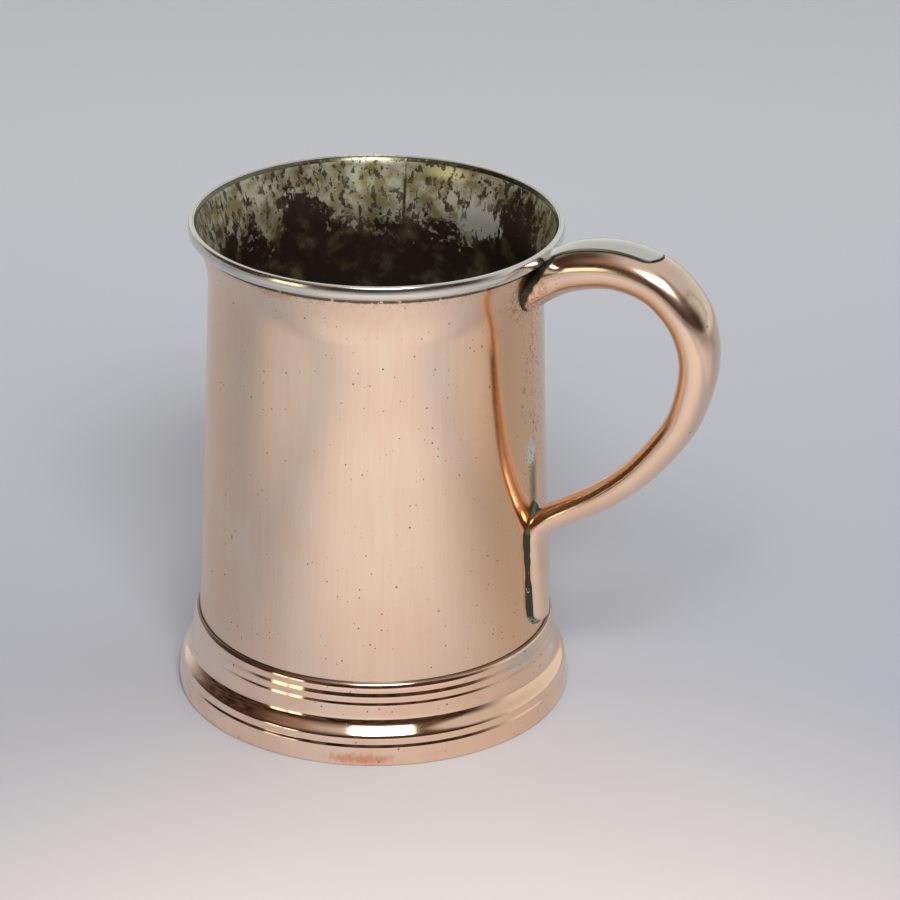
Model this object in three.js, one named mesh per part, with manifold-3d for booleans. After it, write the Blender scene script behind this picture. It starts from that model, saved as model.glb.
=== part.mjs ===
// A quart tankard in sheet copper: a seamed, tapered barrel with a flared lip, a half-round rim
// moulding, a spun foot, a floor let into the barrel's lower end, and a hollow handle soldered
// to the seam. Millimetres, +Z up. The handle points along +X. The origin is the bottom centre
// of the bounding box, on the plane that the foot stands on.
import * as THREE from "three";
import { mergeVertices } from "three/addons/utils/BufferGeometryUtils.js";
import Module from "manifold-3d";

const wasm = await Module();
wasm.setup();

const gap = 0.3; // clearance between neighbouring pieces

// Barrel
const rimHeight = 154.6; // table to the top edge of the lip
const sheet = 1.0; // thickness of the barrel's copper
const heelRadius = 55.5; // outside of the barrel at its lower edge
const neckRadius = 51.1; // outside of the barrel where the flare starts
const flareHeight = 20.6; // the flare's start to the lip
const lipFlare = 4.5; // how far the lip stands out of the neck
const seamWidth = 0.8;
const seamDepth = 0.2;

// Rim moulding, half-round in section
const rimMouldingHeight = 4.6;
const rimMouldingReach = 1.5; // how far it stands out of the lip
const rimMouldingStand = 0.3; // how far its top stands over the lip
const rimMouldingEdge = 0.3; // thickness left at its upper and lower edges

// Foot, spun from sheet: a lapped collar with a bead, two small steps, a plain neck, an ogee
// shoulder, a quirk, and a band whose edge is turned in to a flat that the tankard stands on.
// Drops are from the collar's top edge, and the radii are told by how far they stand out of
// the heel.
const footHeight = 25.4; // top edge of the collar on the barrel
const footSheet = 1.0;
const collarSheet = 0.7; // the collar is thinned where it laps the barrel
const lap = 9.9; // how far the collar and the neck lap the barrel
const beadHeight = 2.5;
const beadSwell = 0.55; // how far the bead stands out of the collar
const tierDrop = 4.4; // foot of the upper step
const tierOut = 1.6;
const plinthDrop = 7.0; // foot of the lower step
const stepRise = 1.0; // height of the slope of each step
const coveOut = 1.95; // plain neck
const coveDrop = 9.8; // where the neck turns out into the shoulder
const shoulderOut = 5.4;
const shoulderDrop = 17.0; // quirk between the shoulder and the band
const bandOut = 6.3;
const bandDrop = 18.7;
const flatOut = 5.6; // outer edge of the flat
const hemWidth = 4.2;
const hemSheet = 1.4;

// Floor, a flanged disc
const floorRise = 5.9; // the floor's upper face over the barrel's lower edge
const floorSheet = 1.2;
const floorCorner = 0.8; // rounding of its edge
const flangeDepth = 5.6;
const filletLeg = 2.6; // legs of the solder fillets on the floor and under the barrel

// Handle: the middle line runs from the barrel up over the crest, out to the bow and back.
// Drops are from the lip, reaches from the barrel's neck.
const rootDrop = 11.9;
const rootSink = 3.2; // the line starts this far inside the neck
const rootDip = 2.3; // and this far under the root's height
const crestReach = 27.9;
const crestDrop = 2.05;
const bowReach = 53.5;
const bowDrop = 27.6;
const tailRise = 5.1; // the foot's collar to the tail's rounded end
const tailLength = 28.8; // the part that lies along the barrel
const heelRise = 6.4; // from there up to the heel, where the arm turns down
const heelReach = 4.36; // how far the line stands off the barrel at the heel
const tailStand = 0.8; // how far the line stands off the barrel along the tail
const rootThickness = 14.9;
const waistThickness = 13.5; // between the root and the crest
const crestThickness = 14.4;
const bowThickness = 12.1;
const heelThickness = 8.1;
const tailThickness = 7.0; // half of it stands out, the other half is cut away by the barrel
const spread = 1.25; // width over thickness on the free part
const heelWidth = 11.2;
const tailWidth = 12.0;
const tailTipWidth = 8.8;
const handleSheet = 1.5;

// Thumb plate, let into the handle's crest
const plateHalfWidth = 5.1;
const plateSheet = 0.8;
const plateProud = 0.3; // how far it stands out of the handle
const plateReach = 40.8; // distance of its tip from the barrel's neck

// Solder
const rootFilletLeg = 2.0; // how far it stands out of the handle at the top of the root
const rootFilletFoot = 0.75; // the same at the bottom
const rootFilletRun = 2.4; // reach along the handle
const tailBed = 0.5; // thickness under the tail
const tailFilletLeg = 1.3;
const tailFilletRise = 1.3;
const tailFilletEdge = 0.15; // thickness left at its edge
const tailSolderReach = 5.5; // the heel to the solder's pointed upper end
const tailSolderPoint = 9.0; // length of that point

const around = 64; // facets round the body
const ringSides = 20; // facets round the handle

const copper = { color: 0xc98f6b, metalness: 1, roughness: 0.32 };
const polishedCopper = { color: 0xcf9a78, metalness: 1, roughness: 0.2 };
const tin = { color: 0xb9b8ae, metalness: 1, roughness: 0.3 };
const solder = { color: 0x6d6f66, metalness: 1, roughness: 0.5 };

const between = (a, b, share) => a + (b - a) * share;

const barrelBottom = footHeight - lap;
const neckHeight = rimHeight - flareHeight;
const lipRadius = neckRadius + lipFlare;
const floorHeight = barrelBottom + floorRise;

// Solids

function toSolid(geometry) {
  const bare = new THREE.BufferGeometry();
  bare.setAttribute("position", geometry.getAttribute("position"));
  if (geometry.index) bare.setIndex(geometry.index);
  const merged = mergeVertices(bare, 1e-4);
  return new wasm.Manifold(
    new wasm.Mesh({
      numProp: 3,
      vertProperties: merged.getAttribute("position").array,
      triVerts: new Uint32Array(merged.index.array),
    }),
  );
}

function toGeometry(solid) {
  const mesh = solid.getMesh();
  const geometry = new THREE.BufferGeometry();
  geometry.setAttribute("position", new THREE.BufferAttribute(mesh.vertProperties, 3));
  geometry.setIndex(new THREE.BufferAttribute(mesh.triVerts, 1));
  return geometry;
}

function cut(solid, ...tools) {
  return tools.reduce((rest, tool) => rest.subtract(tool), solid);
}

// The largest body of a solid, without the slivers that a cut leaves beside it.
function mainBody(solid) {
  return solid.decompose().reduce((best, body) => (body.volume() > best.volume() ? body : best));
}

// A body turned about the Z axis from a closed outline of (radius, height) points, given
// anticlockwise, or from one that starts and ends on the axis.
function turned(points, closed = true) {
  const outline = points.map(([radius, height]) => new THREE.Vector2(radius, height));
  if (closed) outline.push(outline[0].clone());
  return new THREE.LatheGeometry(outline, around).rotateX(Math.PI / 2);
}

// Points along a cubic stretch of an outline, without its first point.
function stretch(from, lean, pull, to, steps) {
  const curve = new THREE.CubicBezierCurve(
    ...[from, lean, pull, to].map(([x, y]) => new THREE.Vector2(x, y)),
  );
  return curve.getPoints(steps).slice(1).map((p) => [p.x, p.y]);
}

// Barrel

// The outside of the barrel from its lower edge to the lip: a cone, then the flare.
const flareStart = [neckRadius, neckHeight];
const barrelOutline = [
  [heelRadius, barrelBottom],
  flareStart,
  ...stretch(
    flareStart,
    [between(neckRadius, lipRadius, 0.02), between(neckHeight, rimHeight, 0.42)],
    [between(neckRadius, lipRadius, 0.58), between(neckHeight, rimHeight, 0.58)],
    [lipRadius, rimHeight],
    5,
  ),
];

// Radius of an outline that rises steadily, at a height.
function radiusAt(outline, height) {
  if (height <= outline[0][1]) return outline[0][0];
  for (let i = 1; i < outline.length; i += 1) {
    const [lowRadius, low] = outline[i - 1];
    const [highRadius, high] = outline[i];
    if (height <= high) {
      return lowRadius + ((highRadius - lowRadius) * (height - low)) / (high - low);
    }
  }
  return outline.at(-1)[0];
}

const barrelRadius = (height) => radiusAt(barrelOutline, height);

function outsetBy(outline, amount) {
  return outline.map(([radius, height]) => [radius + amount, height]);
}

// The groove that the brazed seam leaves up the cone, on the handle's side.
function seamGroove() {
  const rise = neckHeight - barrelBottom;
  const run = heelRadius - neckRadius;
  const groove = new THREE.BoxGeometry(2 * seamDepth, seamWidth, Math.hypot(rise, run));
  groove.rotateY(-Math.atan2(run, rise));
  groove.translate((heelRadius + neckRadius) / 2, 0, (neckHeight + barrelBottom) / 2);
  return toSolid(groove);
}

function barrel() {
  const inside = outsetBy(barrelOutline, -sheet).reverse();
  return toGeometry(cut(toSolid(turned([...barrelOutline, ...inside])), seamGroove()));
}

// Rim moulding

const rimMouldingRadius = lipRadius + rimMouldingReach;
const rimTop = rimHeight + rimMouldingStand;
const rimBottom = rimTop - rimMouldingHeight;

// The half-round outside, from its lower edge to its top edge.
function rimArc(clearance) {
  const points = [];
  const steps = 7;
  for (let i = 0; i <= steps; i += 1) {
    const turn = -Math.PI / 2 + (Math.PI * i) / steps;
    const height = (rimTop + rimBottom) / 2 + (rimMouldingHeight / 2) * Math.sin(turn);
    const root = barrelRadius(Math.min(height, rimHeight)) + gap + rimMouldingEdge;
    const radius = root + (rimMouldingRadius - root) * Math.cos(turn);
    points.push([radius + clearance * Math.cos(turn), height + clearance * Math.sin(turn)]);
  }
  return points;
}

function rimMoulding() {
  const back = [];
  const steps = 2;
  for (let i = 0; i <= steps; i += 1) {
    const height = rimTop - (rimMouldingHeight * i) / steps;
    back.push([barrelRadius(Math.min(height, rimHeight)) + gap, height]);
  }
  return turned([...rimArc(0), ...back]);
}

// The space that the barrel and the rim moulding take, from the axis out, grown by a clearance.
function bodySpace(clearance) {
  const wall = outsetBy(barrelOutline, clearance).filter(([, height]) => height < rimBottom - clearance);
  const bead = rimArc(clearance);
  const top = bead.at(-1)[1];
  const corner = [barrelRadius(rimBottom) + clearance, rimBottom - clearance];
  return toSolid(turned([[0, barrelBottom], ...wall, corner, ...bead, [0, top]], false));
}

// Floor

const innerRadius = (height) => barrelRadius(height) - sheet;

function floorDisc() {
  const top = floorHeight;
  const bottom = floorHeight - flangeDepth;
  const seat = innerRadius(bottom) - gap;
  const shoulder = innerRadius(top) - gap;
  return turned([
    [0, top - floorSheet],
    [shoulder - floorSheet, top - floorSheet],
    [seat - floorSheet, bottom],
    [seat, bottom],
    [shoulder, top - floorCorner],
    [shoulder - 0.3 * floorCorner, top - 0.3 * floorCorner],
    [shoulder - floorCorner, top],
    [0, top],
  ], false);
}

function floorSolder() {
  const low = floorHeight + gap;
  const high = low + filletLeg;
  const wall = innerRadius(low) - gap;
  const inner = wall - filletLeg;
  return turned([
    [inner, low],
    [wall, low],
    [innerRadius(high) - gap, high],
    ...stretch(
      [innerRadius(high) - gap, high],
      [wall - 0.16 * filletLeg, low + 0.5 * filletLeg],
      [wall - 0.5 * filletLeg, low + 0.16 * filletLeg],
      [inner, low],
      3,
    ).slice(0, -1),
  ]);
}

// Foot

const tierHeight = footHeight - tierDrop;
const plinthHeight = footHeight - plinthDrop;
const coveHeight = footHeight - coveDrop;
const shoulderHeight = footHeight - shoulderDrop;
const bandHeight = footHeight - bandDrop;
const tierRadius = heelRadius + tierOut;
const coveRadius = heelRadius + coveOut;
const shoulderRadius = heelRadius + shoulderOut;
const bandRadius = heelRadius + bandOut;
const footRadius = heelRadius + flatOut;

// The outside, from the top edge of the collar down to the flat.
function footOutside() {
  const collar = barrelRadius(footHeight) + gap + collarSheet;
  const rounding = collarSheet / 2;
  const points = [[collar - rounding, footHeight]];
  const steps = 4;
  for (let i = 0; i <= steps; i += 1) {
    const turn = (Math.PI * i) / steps;
    const height = footHeight - (rounding + beadHeight) / 2 + ((beadHeight - rounding) / 2) * Math.cos(turn);
    points.push([collar + beadSwell * Math.sin(turn), height]);
  }
  const waist = [collar, tierHeight + stepRise];
  points.push(waist, [tierRadius, tierHeight]);
  points.push([tierRadius, plinthHeight + stepRise], [coveRadius, plinthHeight]);
  points.push([coveRadius, coveHeight]);
  const fall = coveHeight - shoulderHeight;
  points.push(...stretch(
    [coveRadius, coveHeight],
    [coveRadius, coveHeight - 0.45 * fall],
    [shoulderRadius, shoulderHeight + 0.62 * fall],
    [shoulderRadius, shoulderHeight],
    6,
  ));
  const quirk = shoulderHeight - bandHeight;
  points.push([shoulderRadius, bandHeight + quirk / 2]);
  points.push([between(shoulderRadius, bandRadius, 0.7), bandHeight]);
  points.push([bandRadius, bandHeight / 2]);
  points.push([between(footRadius, bandRadius, 0.8), 0.17 * bandHeight]);
  points.push([between(footRadius, bandRadius, 0.4), 0.05 * bandHeight]);
  points.push([footRadius, 0]);
  return points;
}

// The hollow side, from the flat up to the barrel's lower edge and then along the barrel.
const shoulderInside = [shoulderRadius - footSheet, shoulderHeight];
const neckInside = [coveRadius - footSheet, barrelBottom - footSheet / 2];
const footHollow = [
  [footRadius - footSheet, hemSheet],
  [bandRadius - footSheet, bandHeight / 2],
  [shoulderRadius - footSheet, bandHeight],
  shoulderInside,
  ...stretch(
    shoulderInside,
    [shoulderInside[0], between(shoulderInside[1], neckInside[1], 0.4)],
    [neckInside[0], between(shoulderInside[1], neckInside[1], 0.55)],
    neckInside,
    3,
  ),
  [barrelRadius(barrelBottom) + gap, barrelBottom],
  [barrelRadius(footHeight) + gap, footHeight],
];

function footMoulding() {
  const hem = [
    [footRadius - hemWidth, 0],
    [footRadius - hemWidth, hemSheet],
  ];
  return turned([...footOutside(), ...hem, ...footHollow].reverse());
}

// The run of solder under the barrel's lower edge, in the corner with the foot.
function footSolder() {
  const high = barrelBottom - gap;
  const low = high - filletLeg;
  const wall = (height) => radiusAt(footHollow, height) - gap;
  const skin = outsetBy(footHollow, -gap).filter(([, height]) => height > low && height < high);
  const inner = heelRadius - sheet;
  return turned([
    [inner, high],
    ...stretch(
      [inner, high],
      [between(inner, wall(low), 0.35), high - 0.25 * filletLeg],
      [between(inner, wall(low), 0.75), high - 0.65 * filletLeg],
      [wall(low), low],
      3,
    ),
    ...skin,
    [wall(high), high],
  ]);
}

// Handle

const rootHeight = rimHeight - rootDrop;
const crestHeight = rimHeight - crestDrop;
const crestOut = neckRadius + crestReach;
const bowHeight = rimHeight - bowDrop;
const bowOut = neckRadius + bowReach;
const tailEnd = footHeight + tailRise;
const tailTop = tailEnd + tailLength;
const heelHeight = tailTop + heelRise;
const heelOut = barrelRadius(heelHeight) + heelReach;
const tailSolderTop = heelHeight + tailSolderReach;
const tailDome = 0.45 * tailTipWidth;
const tailOut = (height) => barrelRadius(height) + tailStand;

// A place on the middle line with the thickness and the width of the handle there.
function station(out, height, thickness, width = spread * thickness) {
  return { place: new THREE.Vector3(out, 0, height), size: new THREE.Vector2(thickness, width) };
}

// The line starts inside the barrel's wall, which cuts the handle's end to its own curve.
const stations = [
  station(neckRadius - rootSink, rootHeight - rootDip, rootThickness),
  station(
    between(neckRadius, crestOut, 0.226),
    between(rootHeight, crestHeight, 0.365),
    waistThickness,
  ),
  station(
    between(neckRadius, crestOut, 0.552),
    between(rootHeight, crestHeight, 0.811),
    crestThickness,
  ),
  station(crestOut, crestHeight, crestThickness),
  station(
    between(crestOut, bowOut, 0.488),
    between(bowHeight, crestHeight, 0.874),
    crestThickness,
  ),
  station(
    between(crestOut, bowOut, 0.824),
    between(bowHeight, crestHeight, 0.563),
    between(bowThickness, crestThickness, 0.87),
  ),
  station(
    between(crestOut, bowOut, 0.952),
    between(bowHeight, crestHeight, 0.287),
    between(bowThickness, crestThickness, 0.45),
  ),
  station(bowOut, bowHeight, bowThickness),
  station(
    between(heelOut, bowOut, 0.985),
    between(heelHeight, bowHeight, 0.865),
    between(heelThickness, bowThickness, 0.78),
  ),
  station(
    between(heelOut, bowOut, 0.906),
    between(heelHeight, bowHeight, 0.661),
    between(heelThickness, bowThickness, 0.53),
  ),
  station(
    between(heelOut, bowOut, 0.757),
    between(heelHeight, bowHeight, 0.48),
    between(heelThickness, bowThickness, 0.39),
  ),
  station(
    between(heelOut, bowOut, 0.578),
    between(heelHeight, bowHeight, 0.318),
    between(heelThickness, bowThickness, 0.28),
  ),
  station(
    between(heelOut, bowOut, 0.366),
    between(heelHeight, bowHeight, 0.181),
    between(heelThickness, bowThickness, 0.17),
  ),
  station(
    between(heelOut, bowOut, 0.161),
    between(heelHeight, bowHeight, 0.08),
    between(heelThickness, bowThickness, 0.05),
  ),
  station(heelOut, heelHeight, heelThickness, heelWidth),
  station(
    between(tailOut(tailTop), heelOut, 0.26),
    between(tailTop, heelHeight, 0.56),
    between(tailThickness, heelThickness, 0.5),
    between(heelWidth, tailWidth, 0.5),
  ),
  station(tailOut(tailTop), tailTop, tailThickness, tailWidth),
  station(
    tailOut(between(tailTop, tailEnd, 0.3)),
    between(tailTop, tailEnd, 0.3),
    tailThickness,
    between(tailWidth, tailTipWidth, 0.25),
  ),
  station(
    tailOut(between(tailTop, tailEnd, 0.6)),
    between(tailTop, tailEnd, 0.6),
    tailThickness,
    between(tailWidth, tailTipWidth, 0.6),
  ),
  station(tailOut(tailEnd + tailDome), tailEnd + tailDome, tailThickness, tailTipWidth),
];
const line = new THREE.CatmullRomCurve3(stations.map((s) => s.place), false, "centripetal");
const sizes = new THREE.SplineCurve(stations.map((s) => s.size));
const lineSteps = 46;

// Share of the line's stations at which it first reaches a place.
function shareAt(reached) {
  const steps = 800;
  for (let i = 0; i <= steps; i += 1) {
    if (reached(line.getPoint(i / steps), i / steps)) return i / steps;
  }
  return 1;
}

// A point on the handle's surface, grown by an amount; turn 0 is the outer side.
function surfacePoint(share, turn, grow = 0) {
  const along = line.getTangent(share);
  const outward = new THREE.Vector3(-along.z, 0, along.x);
  const size = sizes.getPoint(share);
  const x = Math.cos(turn) * (size.x / 2 + grow);
  const y = Math.sin(turn) * (size.y / 2 + grow);
  return line.getPoint(share).addScaledVector(outward, x).add(new THREE.Vector3(0, -y, 0));
}

// A closed surface through rings of points with the same count, capped at both ends.
function loft(rings) {
  const count = rings[0].length;
  const positions = rings.flat().flatMap((p) => [p.x, p.y, p.z]);
  const index = [];
  for (let i = 0; i + 1 < rings.length; i += 1) {
    for (let j = 0; j < count; j += 1) {
      const a = i * count + j;
      const b = i * count + ((j + 1) % count);
      index.push(a, b, b + count, a, b + count, a + count);
    }
  }
  for (const [ring, flip] of [[0, true], [rings.length - 1, false]]) {
    const centre = rings[ring].reduce((sum, p) => sum.add(p), new THREE.Vector3());
    centre.divideScalar(count);
    const middle = positions.length / 3;
    positions.push(centre.x, centre.y, centre.z);
    for (let j = 0; j < count; j += 1) {
      const a = ring * count + j;
      const b = ring * count + ((j + 1) % count);
      index.push(...(flip ? [middle, b, a] : [middle, a, b]));
    }
  }
  const geometry = new THREE.BufferGeometry();
  geometry.setAttribute("position", new THREE.Float32BufferAttribute(positions, 3));
  geometry.setIndex(index);
  return geometry;
}

function handleRing(share, grow, scale = 1, ahead = 0) {
  const middle = line.getPoint(share);
  const along = line.getTangent(share);
  const ring = [];
  for (let j = 0; j < ringSides; j += 1) {
    const point = surfacePoint(share, (2 * Math.PI * j) / ringSides, grow);
    point.sub(middle).multiplyScalar(scale).add(middle).addScaledVector(along, ahead);
    ring.push(point);
  }
  return ring;
}

// The handle's outside between two shares, grown, with a domed end of a given length.
function handleBody(from, to, grow, dome = 0, fineness = lineSteps) {
  const rings = [];
  const steps = Math.round(fineness * (to - from));
  for (let i = 0; i <= steps; i += 1) {
    rings.push(handleRing(between(from, to, i / steps), grow));
  }
  const domeSteps = dome ? 5 : 0;
  for (let i = 1; i <= domeSteps; i += 1) {
    const rise = Math.sin((Math.PI / 2) * (i / domeSteps) * 0.96);
    rings.push(handleRing(to, grow, Math.sqrt(1 - rise ** 2), dome * rise));
  }
  return toSolid(loft(rings));
}

// The space inside the barrel's outline and beyond it by an amount, as high as the tail's solder.
function wallSpace(amount) {
  const top = tailSolderTop + gap;
  const skin = [barrelBottom, top].map((height) => [barrelRadius(height) + amount, height]);
  return toSolid(turned([[0, barrelBottom], ...skin, [0, top]], false));
}

const boreEnd = shareAt((p) => p.z <= heelHeight && p.x < bowOut);

function handle() {
  const tube = cut(
    handleBody(0, 1, 0, tailDome),
    handleBody(0, boreEnd, -handleSheet, 0, lineSteps / 2),
    bodySpace(gap),
    wallSpace(gap + tailBed + gap),
    plateBody(gap),
  );
  return toGeometry(mainBody(tube));
}

// Thumb plate

const plateStart = shareAt((p) => p.x >= neckRadius + sheet);
const plateTip = shareAt((p, share) => surfacePoint(share, 0).x >= neckRadius + plateReach);

// The thin plate let into the outer side of the handle, rounded at its tip.
function plateBody(grow) {
  const start = surfacePoint(plateStart, 0);
  const length = surfacePoint(plateTip, 0).distanceTo(start);
  const rings = [];
  const steps = 15;
  const across = 6;
  for (let i = 0; i <= steps; i += 1) {
    const run = (1 + grow / length) * Math.sin((Math.PI / 2) * Math.min(1, (i + 0.3) / steps));
    const share = between(plateStart, plateTip, run);
    const left = Math.max(0, (1 + grow / length - run) * length);
    const reach = 1 - Math.min(1, left / plateHalfWidth);
    const half = (plateHalfWidth + grow) * Math.sqrt(Math.max(1 - reach ** 2, 0.02));
    const turn = Math.asin(Math.min(0.95, (2 * half) / sizes.getPoint(share).y));
    const top = [];
    const under = [];
    for (let j = 0; j <= across; j += 1) {
      const edge = between(-turn, turn, j / across);
      top.push(surfacePoint(share, edge, plateProud + 3 * grow));
      under.unshift(surfacePoint(share, edge, plateProud - plateSheet - grow));
    }
    rings.push([...top, ...under]);
  }
  return toSolid(loft(rings));
}

function thumbPlate() {
  return toGeometry(mainBody(cut(plateBody(0), bodySpace(gap))));
}

// Solder

// Outside radius of the barrel and the rim moulding together.
function bodyRadius(height) {
  if (height > rimTop) return 0;
  if (height < rimBottom) return barrelRadius(height);
  const rise = (2 * (height - (rimTop + rimBottom) / 2)) / rimMouldingHeight;
  const root = barrelRadius(Math.min(height, rimHeight)) + gap + rimMouldingEdge;
  return root + (rimMouldingRadius - root) * Math.sqrt(Math.max(0, 1 - rise ** 2));
}

// The share at which the handle's surface comes out of the body, at a turn round the handle.
function rootContact(turn) {
  const far = shareAt((p) => p.x >= crestOut);
  let contact = 0;
  const steps = 300;
  for (let i = 0; i <= steps; i += 1) {
    const share = (far * i) / steps;
    const point = surfacePoint(share, turn);
    if (Math.hypot(point.x, point.y) < bodyRadius(point.z) + gap) contact = share;
  }
  return contact;
}

// The fillet round the handle's root, spread on the barrel and thinning out on the handle.
function rootSolder() {
  const near = shareAt((p) => p.x >= neckRadius + 4 * rootFilletRun);
  const perMillimetre = near / line.getPoint(near).distanceTo(line.getPoint(0));
  const turns = [];
  for (let j = 0; j < ringSides; j += 1) turns.push((2 * Math.PI * j) / ringSides);
  const contacts = turns.map(rootContact);
  const runs = [-1.5, -0.3, 0.2, 0.5, 1];
  const outs = [1, 1, 0.62, 0.4, 0.2];
  const rings = runs.map((run, k) => turns.map((turn, j) => {
    const share = contacts[j] + run * rootFilletRun * perMillimetre;
    const leg = between(rootFilletFoot, rootFilletLeg, (1 + Math.cos(turn)) / 2);
    return surfacePoint(Math.max(0, share), turn, outs[k] * leg);
  }));
  const lid = new THREE.BoxGeometry(4 * rootThickness, 4 * rootThickness, rootThickness);
  lid.translate(neckRadius, 0, (rimTop + rimBottom + rootThickness) / 2);
  const fillet = cut(
    toSolid(loft(rings)),
    handleBody(0, 0.4, gap),
    bodySpace(gap),
    plateBody(gap),
    toSolid(lid),
  );
  return toGeometry(mainBody(fillet));
}

// The bed under the tail, with a fillet that shows round its edge and closes its end. It is
// built up of level slices, each an outline across the barrel.
function tailSolder() {
  const bottom = tailEnd - tailFilletLeg;
  const rings = [];
  const steps = 16;
  for (let i = 0; i <= steps; i += 1) {
    const rise = 0.5 - 0.5 * Math.cos((Math.PI * (i + 0.15)) / (steps + 0.3));
    const height = between(bottom, tailSolderTop, rise);
    const low = Math.min(1, (height - bottom) / (tailTipWidth / 2 + tailFilletLeg));
    const high = Math.min(1, (tailSolderTop - height) / tailSolderPoint);
    const round = Math.sqrt((1 - (1 - low) ** 2) * (1 - (1 - high) ** 2));
    const width = between(tailTipWidth, tailWidth, Math.min(1, (height - bottom) / (tailTop - bottom)));
    rings.push(solderSlice(height, (width / 2 + tailFilletLeg) * round));
  }
  const tail = cut(handleBody(0.5, 1, gap, tailDome + gap), wallSpace(gap + tailBed));
  return toGeometry(mainBody(cut(toSolid(loft(rings)), bodySpace(gap), tail)));
}

// A level slice through the tail's solder: concave fillets at both sides of a flat.
function solderSlice(height, half) {
  const across = [1, 0.92, 0.82, 0.7, 0, -0.7, -0.82, -0.92, -1];
  const at = (share, out) => {
    const radius = barrelRadius(height) + out;
    const y = share * half;
    return new THREE.Vector3(Math.sqrt(radius ** 2 - y ** 2), y, height);
  };
  const fillet = (share) => Math.min(1, ((1 - Math.abs(share)) * half) / tailFilletLeg) ** 1.5;
  const outer = across.map((share) => at(share, gap + tailFilletEdge + tailFilletRise * fillet(share)));
  const inner = across.map((share) => at(-share, -sheet));
  return [...outer, ...inner].reverse();
}

// Assembly

const tankard = new THREE.Group();

function add(name, geometry, finish) {
  const mesh = new THREE.Mesh(geometry, new THREE.MeshStandardMaterial(finish));
  mesh.name = name;
  tankard.add(mesh);
}

add("barrel", barrel(), copper);
add("rim_moulding", rimMoulding(), tin);
add("floor_disc", floorDisc(), tin);
add("floor_solder", floorSolder(), solder);
add("foot_moulding", footMoulding(), polishedCopper);
add("foot_solder", footSolder(), solder);
add("handle", handle(), polishedCopper);
add("thumb_plate", thumbPlate(), tin);
add("root_solder", rootSolder(), solder);
add("tail_solder", tailSolder(), solder);

// The origin is the bounding box's bottom centre, between the foot and the bow of the handle.
const bounds = new THREE.Box3().setFromObject(tankard);
tankard.position.x = -(bounds.min.x + bounds.max.x) / 2;

export default tankard;
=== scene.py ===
import math

import bmesh
import bpy
from mathutils import Matrix, Vector


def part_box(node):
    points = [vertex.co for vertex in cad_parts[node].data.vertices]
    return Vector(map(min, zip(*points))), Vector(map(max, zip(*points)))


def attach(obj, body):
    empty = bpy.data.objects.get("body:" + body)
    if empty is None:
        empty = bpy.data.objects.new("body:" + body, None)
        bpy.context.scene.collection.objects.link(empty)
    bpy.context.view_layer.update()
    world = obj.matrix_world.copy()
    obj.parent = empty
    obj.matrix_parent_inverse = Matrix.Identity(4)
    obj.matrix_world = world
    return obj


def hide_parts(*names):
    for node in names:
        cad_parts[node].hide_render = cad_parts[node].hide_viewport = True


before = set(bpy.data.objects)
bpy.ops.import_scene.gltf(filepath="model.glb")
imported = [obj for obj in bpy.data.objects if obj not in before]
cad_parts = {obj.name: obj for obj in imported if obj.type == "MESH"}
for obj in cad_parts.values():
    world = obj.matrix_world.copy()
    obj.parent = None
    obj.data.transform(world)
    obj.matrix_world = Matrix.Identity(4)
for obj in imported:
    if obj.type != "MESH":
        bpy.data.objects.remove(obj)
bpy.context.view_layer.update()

MM = 0.001

# Sizes in millimetres. They repeat the part's own, so that each piece lies where its solid lies.

RIM_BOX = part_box("rim_moulding")
AXIS_X = (RIM_BOX[0].x + RIM_BOX[1].x) / 2 / MM  # the barrel's axis

GAP = 0.3
SHEET = 1.0
HEEL_RADIUS = 55.5
BARREL_BOTTOM = 15.5
NECK_RADIUS = 51.1
NECK_HEIGHT = 134.0
LIP_RADIUS = 55.6
LIP_HEIGHT = 154.6
LIP_SLOPE = 1.1
RIM_TOP = 154.9
RIM_HEIGHT = 4.6
RIM_RADIUS = 57.1
RIM_EDGE = 0.3
FLOOR_TOP = 21.4
FLOOR_SHEET = 1.2
FLANGE = 5.6
FILLET = 2.6

FOOT_TOP = 25.4
COLLAR_RADIUS = 56.65
BEAD_HEIGHT = 2.5
TIER_HEIGHT = 21.0
TIER_RADIUS = 57.1
PLINTH_HEIGHT = 18.4
STEP_RISE = 1.0
COVE_RADIUS = 57.45
COVE_HEIGHT = 15.6
SHOULDER_RADIUS = 60.9
SHOULDER_HEIGHT = 8.4
BAND_RADIUS = 61.8
BAND_HEIGHT = 6.7
FOOT_RADIUS = 61.1
FOOT_SHEET = 1.0
HEM_WIDTH = 4.2
HEM_SHEET = 1.4

ROOT_HEIGHT = 142.7
ROOT_SINK = 3.2
ROOT_DIP = 2.3
CREST_OUT = 79.0
CREST_HEIGHT = 152.55
BOW_OUT = 104.6
BOW_HEIGHT = 127.0
TAIL_END = 30.5
TAIL_TOP = 59.3
HEEL_HEIGHT = 65.7
TAIL_STAND = 0.8
HEEL_REACH = 4.36
ROOT_THICK = 14.9
WAIST_THICK = 13.5
CREST_THICK = 14.4
BOW_THICK = 12.1
HEEL_THICK = 8.1
TAIL_THICK = 7.0
SPREAD = 1.25
HEEL_WIDTH = 11.2
TAIL_WIDTH = 12.0
TAIL_TIP_WIDTH = 8.8
TAIL_DOME = 0.45 * TAIL_TIP_WIDTH

TAIL_BED = 0.5

SEAM_ROD = 0.45
SEAM_DEPTH = 0.08

PLATE_HALF_WIDTH = 5.1
PLATE_REACH = 91.9
PLATE_PROUD = 0.3
PLATE_SHEET = 0.8

ROOT_LEG = 1.1
ROOT_LEG_LOW = 0.3
ROOT_RUN = 2.4
ROOT_RUN_LOW = 0.7
TAIL_LEG = 1.3
TAIL_LEG_TOP = 0.7
TAIL_RISE = 1.3
TAIL_SOLDER_TOP = 71.2
TAIL_SOLDER_POINT = 9.0

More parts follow.
